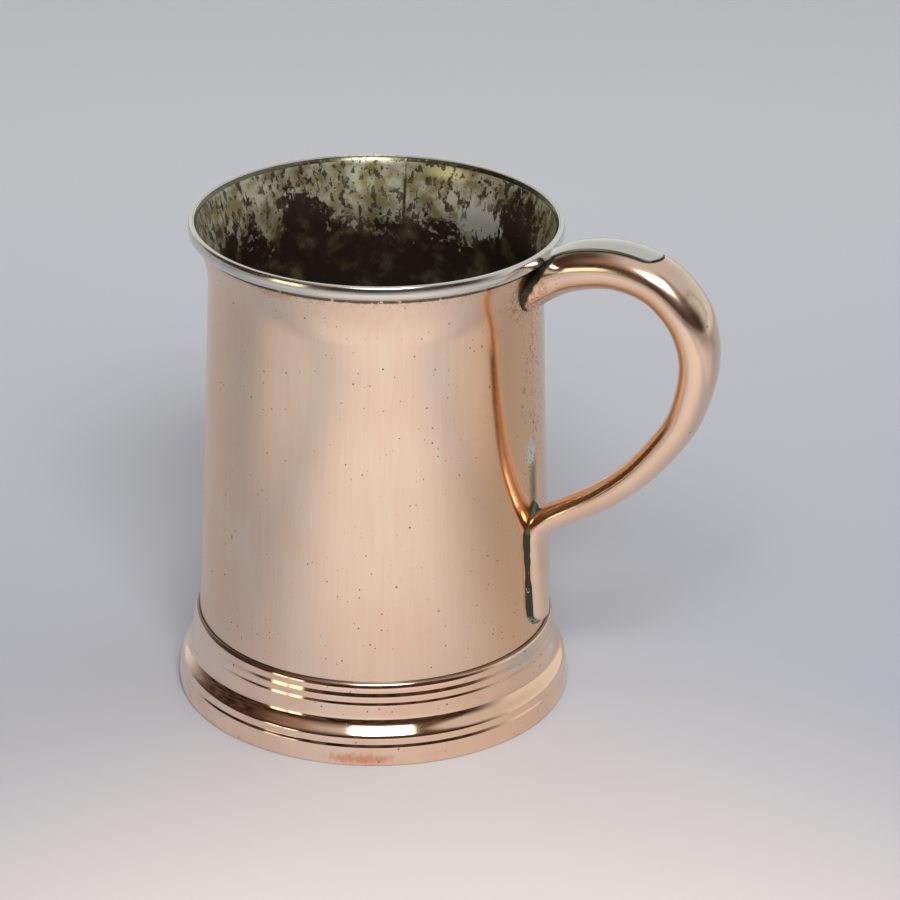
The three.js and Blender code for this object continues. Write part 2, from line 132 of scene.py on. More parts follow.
AROUND = 240  # steps round the barrel, the foot and the rim
SIDES = 64  # sides of the handle

# The front is the side that the camera looks at, turned from -Y towards +X.
FRONT = math.radians(24)
CAMERA_OUT = 1022.6
CAMERA_HEIGHT = 545.7
CAMERA_LENS = 144.61
CAMERA_TURN = 22.695
CAMERA_TILT = 24.58
CAMERA_ROLL = 0.914

BOX_POWER = 6.35
BOX_TURN = 6
BOX_RISE = 45
BOX_AWAY = 950
BOX_SIZE = (315, 215)
BOX_LAYERS = (("soft_box", 0.55, 1.0), ("soft_box_edge", 0.25, 1.3), ("soft_box_glow", 0.2, 1.7))


def between(a, b, share):
    return a + (b - a) * share


def clamp(value, low=0.0, high=1.0):
    return max(low, min(high, value))


# Modelling


def deselect():
    if bpy.context.object and bpy.context.object.mode != "OBJECT":
        bpy.ops.object.mode_set(mode="OBJECT")
    bpy.ops.object.select_all(action="DESELECT")


def take(piece):
    deselect()
    piece.select_set(True)
    bpy.context.view_layer.objects.active = piece


def settle(piece):
    """Puts the piece's place into its mesh."""
    take(piece)
    bpy.ops.object.transform_apply(location=True, rotation=True, scale=True)
    return piece


def apply_modifiers(piece):
    take(piece)
    for modifier in list(piece.modifiers):
        bpy.ops.object.modifier_apply(modifier=modifier.name)


def smooth(piece, angle=38):
    take(piece)
    bpy.ops.object.shade_smooth_by_angle(angle=math.radians(angle))


def cubic(start, lean, pull, end, steps):
    """Points along a cubic stretch of an outline, without its first point."""
    points = []
    for i in range(1, steps + 1):
        t = i / steps
        u = 1 - t
        weights = (u ** 3, 3 * u * u * t, 3 * u * t * t, t ** 3)
        points.append(tuple(
            sum(w * p[axis] for w, p in zip(weights, (start, lean, pull, end))) for axis in (0, 1)
        ))
    return points


def round_corners(outline, reach, steps=5):
    """Rounds each corner of an open outline by the reach that its point is given."""
    points = [outline[0]]
    for before, here, after, size in zip(outline, outline[1:], outline[2:], reach[1:]):
        if not size:
            points.append(here)
            continue
        back = min(size, 0.48 * math.dist(before, here)) / math.dist(before, here)
        on = min(size, 0.48 * math.dist(here, after)) / math.dist(here, after)
        start = tuple(between(h, b, back) for h, b in zip(here, before))
        end = tuple(between(h, a, on) for h, a in zip(here, after))
        points.append(start)
        points += cubic(start, here, here, end, steps)
    return points + [outline[-1]]


def spun(name, outline, steps=AROUND):
    """Draws an outline of (radius, height) by extruding one vertex, and spins it about the axis."""
    deselect()
    first = outline[0]
    bpy.ops.mesh.primitive_plane_add(
        size=MM, location=((AXIS_X + first[0]) * MM, 0, first[1] * MM)
    )
    piece = bpy.context.object
    piece.name = name
    bpy.ops.object.mode_set(mode="EDIT")
    bpy.ops.mesh.select_mode(type="VERT")
    bpy.ops.mesh.select_all(action="SELECT")
    bpy.ops.mesh.merge(type="CENTER")
    here = first
    for radius, height in list(outline[1:]) + ([first] if first[0] > 0 else []):
        step = ((radius - here[0]) * MM, 0, (height - here[1]) * MM)
        bpy.ops.mesh.extrude_vertices_move(TRANSFORM_OT_translate={"value": step})
        here = (radius, height)
    bpy.ops.mesh.select_all(action="SELECT")
    bpy.ops.mesh.remove_doubles(threshold=1e-7)
    bpy.ops.mesh.spin(
        steps=steps, angle=2 * math.pi, center=(AXIS_X * MM, 0, 0), axis=(0, 0, 1),
        use_auto_merge=True,
    )
    bpy.ops.mesh.select_all(action="SELECT")
    bpy.ops.mesh.remove_doubles(threshold=2e-6)
    bpy.ops.mesh.normals_make_consistent(inside=False)
    return settle(piece)


def cut_away(piece, tool):
    """Takes a tool's space out of a piece, and removes the tool."""
    modifier = piece.modifiers.new("cut", "BOOLEAN")
    modifier.operation = "DIFFERENCE"
    modifier.solver = "EXACT"
    modifier.object = tool
    apply_modifiers(piece)
    bpy.data.objects.remove(tool)


def select_faces(piece, test):
    """Leaves the piece in edit mode with the faces selected that pass a test."""
    take(piece)
    bpy.ops.object.mode_set(mode="EDIT")
    bpy.ops.mesh.select_mode(type="FACE")
    bpy.ops.mesh.select_all(action="DESELECT")
    mesh = bmesh.from_edit_mesh(piece.data)
    for face in mesh.faces:
        face.select_set(test(face))
    bmesh.update_edit_mesh(piece.data)


def turn_about_y(angle, centre):
    bpy.ops.transform.rotate(value=-angle, orient_axis="Y", center_override=centre)


def swept(name, rings, sides=SIDES):
    """Sweeps an oval by extruding it from ring to ring. A ring is its centre, its turn about Y,
    and its two half widths, in metres."""
    deselect()
    centre, turn, thick, wide = rings[0]
    bpy.ops.mesh.primitive_circle_add(
        vertices=sides, radius=1, fill_type="NGON", location=centre, rotation=(0, 0, 0)
    )
    piece = bpy.context.object
    piece.name = name
    bpy.ops.object.mode_set(mode="EDIT")
    bpy.ops.mesh.select_mode(type="FACE")
    bpy.ops.mesh.select_all(action="SELECT")
    bpy.ops.transform.resize(value=(thick, wide, 1), center_override=centre)
    turn_about_y(turn, centre)
    for next_centre, next_turn, next_thick, next_wide in rings[1:]:
        bpy.ops.mesh.extrude_region_move(TRANSFORM_OT_translate={"value": (0, 0, 0)})
        turn_about_y(-turn, centre)
        bpy.ops.transform.resize(
            value=(next_thick / thick, next_wide / wide, 1), center_override=centre
        )
        turn_about_y(next_turn, centre)
        bpy.ops.transform.translate(value=Vector(next_centre) - Vector(centre))
        centre, turn, thick, wide = next_centre, next_turn, next_thick, next_wide
    bpy.ops.mesh.select_all(action="SELECT")
    bpy.ops.mesh.normals_make_consistent(inside=False)
    return settle(piece)


def skinned(name, rows):
    """A closed skin over rows of points with the same count, in metres, capped at both ends."""
    mesh = bmesh.new()
    lines = [[mesh.verts.new(point) for point in row] for row in rows]
    count = len(rows[0])
    for low, high in zip(lines, lines[1:]):
        for j in range(count):
            k = (j + 1) % count
            mesh.faces.new((low[j], low[k], high[k], high[j]))
    mesh.faces.new(reversed(lines[0]))
    mesh.faces.new(lines[-1])
    bmesh.ops.recalc_face_normals(mesh, faces=mesh.faces)
    data = bpy.data.meshes.new(name)
    mesh.to_mesh(data)
    mesh.free()
    piece = bpy.data.objects.new(name, data)
    bpy.context.scene.collection.objects.link(piece)
    return piece


# Outlines

NECK = (NECK_RADIUS, NECK_HEIGHT)
BARREL_OUTSIDE = [(HEEL_RADIUS, BARREL_BOTTOM), NECK] + cubic(
    NECK,
    (between(NECK_RADIUS, LIP_RADIUS, 0.02), between(NECK_HEIGHT, LIP_HEIGHT, 0.42)),
    (between(NECK_RADIUS, LIP_RADIUS, 0.58), between(NECK_HEIGHT, LIP_HEIGHT, 0.58)),
    (LIP_RADIUS, LIP_HEIGHT),
    20,
)


def barrel_radius(height):
    points = BARREL_OUTSIDE
    if height <= points[0][1]:
        return points[0][0]
    for (low_radius, low), (high_radius, high) in zip(points, points[1:]):
        if height <= high:
            return between(low_radius, high_radius, (height - low) / (high - low))
    return points[-1][0]


def rim_outside(clearance=0.0, steps=28):
    middle = RIM_TOP - RIM_HEIGHT / 2
    points = []
    for i in range(steps + 1):
        turn = -math.pi / 2 + math.pi * i / steps
        height = middle + RIM_HEIGHT / 2 * math.sin(turn)
        root = barrel_radius(min(height, LIP_HEIGHT)) + GAP + RIM_EDGE
        radius = root + (RIM_RADIUS - root) * math.cos(turn)
        points.append((radius + clearance * math.cos(turn), height + clearance * math.sin(turn)))
    return points


def body_space(clearance):
    """The barrel and the rim band as one solid from the axis out, to cut what meets them."""
    bead = rim_outside(clearance)
    wall = [(r + clearance, h) for r, h in BARREL_OUTSIDE if h < bead[0][1] - 0.05]
    corner = (barrel_radius(bead[0][1]) + clearance, bead[0][1])
    top = bead[-1][1]
    return spun("body_space", [(0, BARREL_BOTTOM)] + wall + [corner] + bead + [(0, top)])


# The handle's line, as in the part


def heel_out():
    return barrel_radius(HEEL_HEIGHT) + HEEL_REACH


def tail_out(height):
    return barrel_radius(height) + TAIL_STAND


def stations():
    """(out, height, thickness, width) at each station of the handle's middle line."""
    rows = [(NECK_RADIUS - ROOT_SINK, ROOT_HEIGHT - ROOT_DIP, ROOT_THICK)]
    for out, up, thick in ((0.226, 0.365, WAIST_THICK), (0.552, 0.811, CREST_THICK)):
        rows.append((
            between(NECK_RADIUS, CREST_OUT, out), between(ROOT_HEIGHT, CREST_HEIGHT, up), thick
        ))
    rows.append((CREST_OUT, CREST_HEIGHT, CREST_THICK))
    for out, up, thick in ((0.488, 0.874, 1), (0.824, 0.563, 0.87), (0.952, 0.287, 0.45)):
        rows.append((
            between(CREST_OUT, BOW_OUT, out),
            between(BOW_HEIGHT, CREST_HEIGHT, up),
            between(BOW_THICK, CREST_THICK, thick),
        ))
    rows.append((BOW_OUT, BOW_HEIGHT, BOW_THICK))
    lower = (
        (0.985, 0.865, 0.78), (0.906, 0.661, 0.53), (0.757, 0.48, 0.39),
        (0.578, 0.318, 0.28), (0.366, 0.181, 0.17), (0.161, 0.08, 0.05),
    )
    for out, up, thick in lower:
        rows.append((
            between(heel_out(), BOW_OUT, out),
            between(HEEL_HEIGHT, BOW_HEIGHT, up),
            between(HEEL_THICK, BOW_THICK, thick),
        ))
    rows = [(*row, SPREAD * row[2]) for row in rows]
    rows.append((heel_out(), HEEL_HEIGHT, HEEL_THICK, HEEL_WIDTH))
    rows.append((
        between(tail_out(TAIL_TOP), heel_out(), 0.26), between(TAIL_TOP, HEEL_HEIGHT, 0.56),
        (TAIL_THICK + HEEL_THICK) / 2, (HEEL_WIDTH + TAIL_WIDTH) / 2,
    ))
    for share, narrow in ((0, 0), (0.3, 0.25), (0.6, 0.6)):
        height = between(TAIL_TOP, TAIL_END, share)
        width = between(TAIL_WIDTH, TAIL_TIP_WIDTH, narrow)
        rows.append((tail_out(height), height, TAIL_THICK, width))
    height = TAIL_END + TAIL_DOME
    rows.append((tail_out(height), height, TAIL_THICK, TAIL_TIP_WIDTH))
    return rows


STATIONS = stations()


def line_cubic(share, values, knots):
    """A Catmull-Rom piece through four values, with the lengths of the three spans as knots."""
    p0, p1, p2, p3 = values
    d0, d1, d2 = knots
    start = ((p1 - p0) / d0 - (p2 - p0) / (d0 + d1) + (p2 - p1) / d1) * d1
    end = ((p2 - p1) / d1 - (p3 - p1) / (d1 + d2) + (p3 - p2) / d2) * d1
    a = 2 * p1 - 2 * p2 + start + end
    b = -3 * p1 + 3 * p2 - 2 * start - end
    return a * share ** 3 + b * share ** 2 + start * share + p1


def on_line(share):
    """(centre, thickness, width) of the handle at a share of its stations, in millimetres."""
    place = clamp(share) * (len(STATIONS) - 1)
    i = min(int(place), len(STATIONS) - 2)
    t = place - i
    near = [Vector((STATIONS[k][0], 0, STATIONS[k][1])) for k in (i, i + 1)]
    before = (
        Vector((STATIONS[i - 1][0], 0, STATIONS[i - 1][1])) if i else 2 * near[0] - near[1]
    )
    last = i + 2 < len(STATIONS)
    after = (
        Vector((STATIONS[i + 2][0], 0, STATIONS[i + 2][1])) if last else 2 * near[1] - near[0]
    )
    four = [before, *near, after]
    knots = [math.sqrt((b - a).length) for a, b in zip(four, four[1:])]
    centre = line_cubic(t, four, knots)
    sizes = []
    for column in (2, 3):
        rows = [STATIONS[clamp(k, 0, len(STATIONS) - 1)][column] for k in (i - 1, i, i + 1, i + 2)]
        start, end = (rows[2] - rows[0]) / 2, (rows[3] - rows[1]) / 2
        sizes.append(
            (2 * rows[1] - 2 * rows[2] + start + end) * t ** 3
            + (-3 * rows[1] + 3 * rows[2] - 2 * start - end) * t ** 2 + start * t + rows[1]
        )
    return centre, sizes[0], sizes[1]


def line_tangent(share):
    step = 1e-4
    ahead = on_line(min(1, share + step))[0] - on_line(max(0, share - step))[0]
    return ahead.normalized()


def surface_point(share, turn, grow=0.0):
    """A point of the handle's surface, in metres from the part's origin; turn 0 is the outer side."""
    centre, thick, wide = on_line(share)
    along = line_tangent(share)
    outward = Vector((-along.z, 0, along.x))
    point = centre + outward * (math.cos(turn) * (thick / 2 + grow))
    point.y = -math.sin(turn) * (wide / 2 + grow)
    return Vector((point.x + AXIS_X, point.y, point.z)) * MM


def out_of_axis(point):
    """Distance of a point from the barrel's axis, in millimetres."""
    return math.hypot(point.x / MM - AXIS_X, point.y / MM)


def share_at(reached, steps=800):
    """Share of the line's stations at which it first reaches a place."""
    for i in range(steps + 1):
        if reached(on_line(i / steps)[0]):
            return i / steps
    return 1.0


def handle_rings():
    rings = []
    steps = 130
    for i in range(steps + 1):
        share = i / steps
        centre, thick, wide = on_line(share)
        along = line_tangent(share)
        turn = math.atan2(-along.x, -along.z)
        at = Vector((centre.x + AXIS_X, 0, centre.z)) * MM
        rings.append((at, turn, thick / 2 * MM, wide / 2 * MM))
    at, turn, thick, wide = rings[-1]
    along = line_tangent(1)
    dome_steps = 10
    for i in range(1, dome_steps + 1):
        rise = math.sin(math.pi / 2 * i / dome_steps * 0.985)
        small = math.sqrt(1 - rise ** 2)
        rings.append((at + along * TAIL_DOME * rise * MM, turn, thick * small, wide * small))
    return rings


# Pieces turned about the axis


def make_barrel():
    cone = [
        (between(HEEL_RADIUS, NECK_RADIUS, i / 12), between(BARREL_BOTTOM, NECK_HEIGHT, i / 12))
        for i in range(12)
    ]
    outside = cone + BARREL_OUTSIDE[1:]
    lip = [
        (LIP_RADIUS - 0.1, LIP_HEIGHT + 0.12),
        (LIP_RADIUS - 0.22, LIP_HEIGHT + 0.17),
        (LIP_RADIUS - 0.34, LIP_HEIGHT + 0.15),
        (LIP_RADIUS - 0.44, LIP_HEIGHT + 0.05),
    ]
    inside = [
        (radius - SHEET, height) for radius, height in reversed(outside)
        if height < LIP_HEIGHT - LIP_SLOPE
    ]
    barrel = spun("barrel_sheet", outside + lip + inside)
    cut_away(barrel, seam_tool())
    return barrel


def seam_tool():
    """A thin rod lying in the cone's surface on the handle's side."""
    run, rise = HEEL_RADIUS - NECK_RADIUS, NECK_HEIGHT - BARREL_BOTTOM
    middle = ((HEEL_RADIUS + NECK_RADIUS) / 2 + SEAM_ROD - SEAM_DEPTH, 0)
    deselect()
    bpy.ops.mesh.primitive_cylinder_add(
        vertices=12, radius=SEAM_ROD * MM, depth=math.hypot(run, rise) * MM,
        location=((AXIS_X + middle[0]) * MM, 0, (NECK_HEIGHT + BARREL_BOTTOM) / 2 * MM),
        rotation=(0, -math.atan2(run, rise), 0),
    )
    return settle(bpy.context.object)


def make_rim():
    back = [
        (barrel_radius(min(height, LIP_HEIGHT)) + 0.03, height)
        for height in (RIM_TOP - 0.1, 154.0, 152.6, 151.4, RIM_TOP - RIM_HEIGHT)
    ]
    return spun("rim_band", rim_outside() + back)


def make_floor():
    edge = barrel_radius(FLOOR_TOP) - SHEET - 0.05
    flange = barrel_radius(FLOOR_TOP - FLANGE) - SHEET - 0.05
    under = FLOOR_TOP - FLOOR_SHEET
    return spun("floor_dish", [
        (0, under), (edge - FLOOR_SHEET - 0.5, under), (edge - FLOOR_SHEET, under - 0.5),
        (flange - FLOOR_SHEET, FLOOR_TOP - FLANGE), (flange, FLOOR_TOP - FLANGE),
        (edge, FLOOR_TOP - 0.8), (edge - 0.24, FLOOR_TOP - 0.24), (edge - 0.8, FLOOR_TOP),
        (0, FLOOR_TOP),
    ], 160)


def make_floor_fillet():
    low = FLOOR_TOP + 0.02
    wall = barrel_radius(low) - SHEET
    hollow_side = cubic(
        (wall, low + FILLET), (wall - 0.16 * FILLET, low + 0.5 * FILLET),
        (wall - 0.5 * FILLET, low + 0.16 * FILLET), (wall - FILLET, low), 8,
    )
    return spun("floor_fillet", [
        (wall - FILLET, low), (wall + 0.2, low), (wall + 0.1, low + FILLET), *hollow_side[:-1],
    ], 160)


def foot_outside():
    """The foot's outside, from the collar's top edge down to the flat."""
    top = barrel_radius(FOOT_TOP) + GAP / 2
    low = FOOT_TOP - BEAD_HEIGHT
    bead = [
        (
            between(top, COLLAR_RADIUS, math.sin(math.pi * i / 20)),
            between(low, FOOT_TOP, math.cos(math.pi * i / 20)),
        )
        for i in range(11)
    ]
    tiers = round_corners(
        [
            bead[-1], (COLLAR_RADIUS, low - 0.5), (TIER_RADIUS, TIER_HEIGHT),
            (TIER_RADIUS, PLINTH_HEIGHT + STEP_RISE), (COVE_RADIUS, PLINTH_HEIGHT),
            (COVE_RADIUS, COVE_HEIGHT),
        ],
        [0, 0.3, 0.6, 0.3, 0.5, 0],
    )
    fall = COVE_HEIGHT - SHOULDER_HEIGHT
    shoulder = cubic(
        tiers[-1], (COVE_RADIUS, COVE_HEIGHT - 0.64 * fall),
        (SHOULDER_RADIUS, SHOULDER_HEIGHT + 0.333 * fall), (SHOULDER_RADIUS, SHOULDER_HEIGHT), 24,
    )
    band = round_corners(
        [
            shoulder[-1], (SHOULDER_RADIUS + 0.03, BAND_HEIGHT + 0.25),
            (SHOULDER_RADIUS + 0.42, BAND_HEIGHT - 0.6), (BAND_RADIUS, BAND_HEIGHT / 2 - 0.3),
            (FOOT_RADIUS + 0.5, 0.1), (FOOT_RADIUS - 0.4, 0),
        ],
        [0, 0.15, 0.3, 1.5, 0.7, 0],
    )
    return bead + tiers[1:] + shoulder + band[1:]


def make_foot():
    skin = SHOULDER_RADIUS - FOOT_SHEET
    neck = (COVE_RADIUS - FOOT_SHEET, BARREL_BOTTOM - FOOT_SHEET / 2)
    hollow = [
        (FOOT_RADIUS - HEM_WIDTH, 0), (FOOT_RADIUS - HEM_WIDTH, HEM_SHEET),
        (FOOT_RADIUS - FOOT_SHEET, HEM_SHEET), (BAND_RADIUS - FOOT_SHEET, BAND_HEIGHT / 2),
        (skin, BAND_HEIGHT), (skin, SHOULDER_HEIGHT),
        *cubic(
            (skin, SHOULDER_HEIGHT), (skin, between(SHOULDER_HEIGHT, neck[1], 0.4)),
            (neck[0], between(SHOULDER_HEIGHT, neck[1], 0.55)), neck, 10,
        ),
        (HEEL_RADIUS + 0.1, BARREL_BOTTOM), (barrel_radius(FOOT_TOP) + 0.1, FOOT_TOP - 0.3),
    ]
    return spun("foot_ring", foot_outside() + hollow)


# Handle, thumb plate and solder


def make_handle(plate_pocket):
    handle = swept("handle_tube", handle_rings())
    cut_away(handle, body_space(0.05))
    cut_away(handle, tail_space())
    cut_away(handle, plate_pocket)
    return handle


def tail_space():
    """The space under the tail, which its solder bed fills."""
    skin = [
        (barrel_radius(height) + TAIL_BED, height)
        for height in (BARREL_BOTTOM + 1, TAIL_SOLDER_TOP)
    ]
    return spun("tail_space", [(0, skin[0][1]), *skin, (0, skin[-1][1])])


def plate_rows(grow, steps=56, across=14, rounding=0.32):
    """Rows of points round the thumb plate's section, from the root to its rounded tip."""
    start = share_at(lambda p: p.x >= NECK_RADIUS - 1)
    tip = next(
        i / 800 for i in range(800) if surface_point(i / 800, 0).x / MM - AXIS_X >= PLATE_REACH
    )
    length = (surface_point(tip, 0) - surface_point(start, 0)).length / MM
    rows = []
    for i in range(steps + 1):
        run = math.sin(math.pi / 2 * i / steps)
        left = (1 - run) * length
        share = between(start, tip, (run * length + grow * i / steps) / length)
        reach = 1 - min(1, left / PLATE_HALF_WIDTH)
        half = (PLATE_HALF_WIDTH + grow) * math.sqrt(max(1 - reach ** 2, 0.0004))
        wide = on_line(share)[2]
        turn = math.asin(min(0.95, 2 * half / wide))
        row = []
        for j in range(across + 1):
            edge = between(-1, 1, j / across)
            edge = math.copysign(1 - (1 - abs(edge)) ** 1.5, edge)
            inset = clamp((1 - abs(edge)) * half / rounding)
            drop = rounding * (1 - math.sqrt(1 - (1 - inset) ** 2))
            row.append(surface_point(share, edge * turn, PLATE_PROUD + 4 * grow - drop))
        row += [
            surface_point(share, edge * turn, -PLATE_SHEET - grow)
            for edge in (0.95, 0.5, 0, -0.5, -0.95)
        ]
        rows.append(row)
    return rows


def make_plate():
    plate = skinned("thumb_strip", plate_rows(0))
    cut_away(plate, body_space(0.03))
    return plate


def body_radius(height):
    if height > RIM_TOP:
        return 0
    if height < RIM_TOP - RIM_HEIGHT:
        return barrel_radius(height)
    rise = 2 * (height - RIM_TOP + RIM_HEIGHT / 2) / RIM_HEIGHT
    root = barrel_radius(min(height, LIP_HEIGHT)) + GAP + RIM_EDGE
    return root + (RIM_RADIUS - root) * math.sqrt(max(0, 1 - rise ** 2))


def wobble(angle, seed):
    """A smooth uneven value between -1 and 1 round a full turn."""
    return (
        0.5 * math.sin(2 * angle + seed) + 0.3 * math.sin(5 * angle + 2.3 * seed)
        + 0.2 * math.sin(9 * angle + 4.1 * seed)
    )


def make_root_solder():
    """The fillet round the handle's root: spread on the barrel, thin on the handle."""
    count = 96
    turns = [2 * math.pi * j / count for j in range(count)]
    far = share_at(lambda p: p.x >= CREST_OUT)
    near = share_at(lambda p: p.x >= NECK_RADIUS + 4 * ROOT_RUN)
    per_mm = near / (on_line(near)[0] - on_line(0)[0]).length
    contacts = []
    for turn in turns:
        contact = 0
        for i in range(301):
            share = far * i / 300
            point = surface_point(share, turn)
            if out_of_axis(point) < body_radius(point.z / MM):
                contact = share
        contacts.append(contact)
    rows = []
    for run, out in (
        (-1.5, 1), (-0.5, 1.03), (-0.1, 1), (0.12, 0.72), (0.3, 0.48), (0.5, 0.3), (0.75, 0.14),
        (1, 0.03), (1.2, -0.08),
    ):
        row = []
        for turn, contact in zip(turns, contacts):
            uneven = 1 + 0.16 * wobble(turn, 1.7)
            upper = (1 + math.cos(turn)) / 2
            share = contact + run * between(ROOT_RUN_LOW, ROOT_RUN, upper) * per_mm * uneven
            leg = between(ROOT_LEG_LOW, ROOT_LEG, upper) * uneven
            row.append(surface_point(max(0, share), turn, out * leg))
        rows.append(row)
    solder = skinned("root_fillet", rows)
    cut_away(solder, body_space(0.02))
    cut_away(solder, box_tool(NECK_RADIUS, RIM_TOP - RIM_HEIGHT / 2 + 2 * ROOT_THICK, ROOT_THICK))
    return solder


def box_tool(out, height, half):
    """A box round a place of the handle's plane, to cut with."""
    deselect()
    bpy.ops.mesh.primitive_cube_add(
        size=2, location=((AXIS_X + out) * MM, 0, height * MM),
        scale=(4 * half * MM, 4 * half * MM, 2 * half * MM),
    )
    return settle(bpy.context.object)


def make_tail_solder():
    """The bed under the tail and the fillet that shows round it, in level slices."""
    bottom = TAIL_END - TAIL_LEG
    rows = []
    steps = 60
    for i in range(steps + 1):
        rise = 0.5 - 0.5 * math.cos(math.pi * (i + 0.1) / (steps + 0.2))
        height = between(bottom, TAIL_SOLDER_TOP, rise)
        low = min(1, (height - bottom) / (TAIL_TIP_WIDTH / 2 + TAIL_LEG))
        high = min(1, (TAIL_SOLDER_TOP - height) / TAIL_SOLDER_POINT)
        bow = math.sqrt(1 - (1 - low) ** 2) * high ** 1.1
        up = min(1, (height - bottom) / (TAIL_TOP - bottom))
        width = between(TAIL_TIP_WIDTH, TAIL_WIDTH, up)
        leg = between(TAIL_LEG, TAIL_LEG_TOP, up)
        rows.append(solder_slice(height, (width / 2 + leg) * bow, leg))
    return skinned("tail_bed", rows)


def solder_slice(height, half, leg):
    shares = [1, 0.97, 0.93, 0.88, 0.82, 0.76, 0.7, 0.35]
    across = shares + [0] + [-share for share in reversed(shares)]

    def at(share, out):
        radius = barrel_radius(height) + out
        y = share * half * (1 + 0.05 * wobble(height / 6, 2 + math.copysign(1, share)))
        return Vector((math.sqrt(radius ** 2 - y ** 2) + AXIS_X, y, height)) * MM

    def fillet(share):
        return min(1, (1 - abs(share)) * half / leg) ** 1.5

    outer = [at(share, 0.04 + TAIL_RISE * fillet(share)) for share in across]
    inner = [at(-share, -0.3) for share in across]
    return outer + inner


# Finishes


def srgb(red, green, blue):
    """A colour written as it is seen, from 0 to 255, as the shader's own numbers."""
    def one(value):
        value /= 255
        return value / 12.92 if value <= 0.04045 else ((value + 0.055) / 1.055) ** 2.4
    return one(red), one(green), one(blue), 1.0


class Flow:
    """A value on its way through a node tree. Plain arithmetic on it adds the nodes."""

    def __init__(self, tree, socket=None):
        self.tree = tree
        self.socket = socket

    def node(self, kind, settings=None, inputs=None, output=0):
        """Adds a node: its settings first, then its inputs, each a value or another flow."""
        node = self.tree.nodes.new("ShaderNode" + kind)
        for name, value in (settings or {}).items():
            setattr(node, name, value)
        for name, value in (inputs or {}).items():
            if isinstance(value, Flow):
                self.tree.links.new(value.socket, node.inputs[name])
            else:
                node.inputs[name].default_value = value
        return Flow(self.tree, node.outputs[output])

    def maths(self, operation, *values):
        return self.node("Math", {"operation": operation}, dict(enumerate(values)))

    def __add__(self, other):
        return self.maths("ADD", self, other)

    def __radd__(self, other):
        return self.maths("ADD", other, self)

    def __sub__(self, other):
        return self.maths("SUBTRACT", self, other)

    def __rsub__(self, other):
        return self.maths("SUBTRACT", other, self)

    def __mul__(self, other):
        return self.maths("MULTIPLY", self, other)

    def __rmul__(self, other):
        return self.maths("MULTIPLY", other, self)

    def __truediv__(self, other):
        return self.maths("DIVIDE", self, other)

    def __rtruediv__(self, other):
        return self.maths("DIVIDE", other, self)

    def __pow__(self, other):
        return self.maths("POWER", self, other)

    def __neg__(self):
        return 0 - self

    def __abs__(self):
        return self.maths("ABSOLUTE", self)

    def larger(self, other):
        return self.maths("MAXIMUM", self, other)

    def smaller(self, other):
        return self.maths("MINIMUM", self, other)

    def rises(self, low, high):
        """0 below low, 1 above high, with a soft step between."""
        return self.node(
            "MapRange", {"interpolation_type": "SMOOTHSTEP"},
            {"Value": self, "From Min": low, "From Max": high},
        )

    def falls(self, low, high):
        return 1 - self.rises(low, high)

    def colour(self, off, on):
        """Blends from one colour to another as this value goes from 0 to 1."""
        return self.node("Mix", {"data_type": "RGBA"}, {0: self, 6: off, 7: on}, 2)

    def blend(self, off, on):
        return self.node("Mix", {"data_type": "FLOAT"}, {0: self, 2: off, 3: on}, 0)

    def parts(self):
        split = self.node("SeparateXYZ", None, {0: self})
        return [Flow(self.tree, socket) for socket in split.socket.node.outputs]


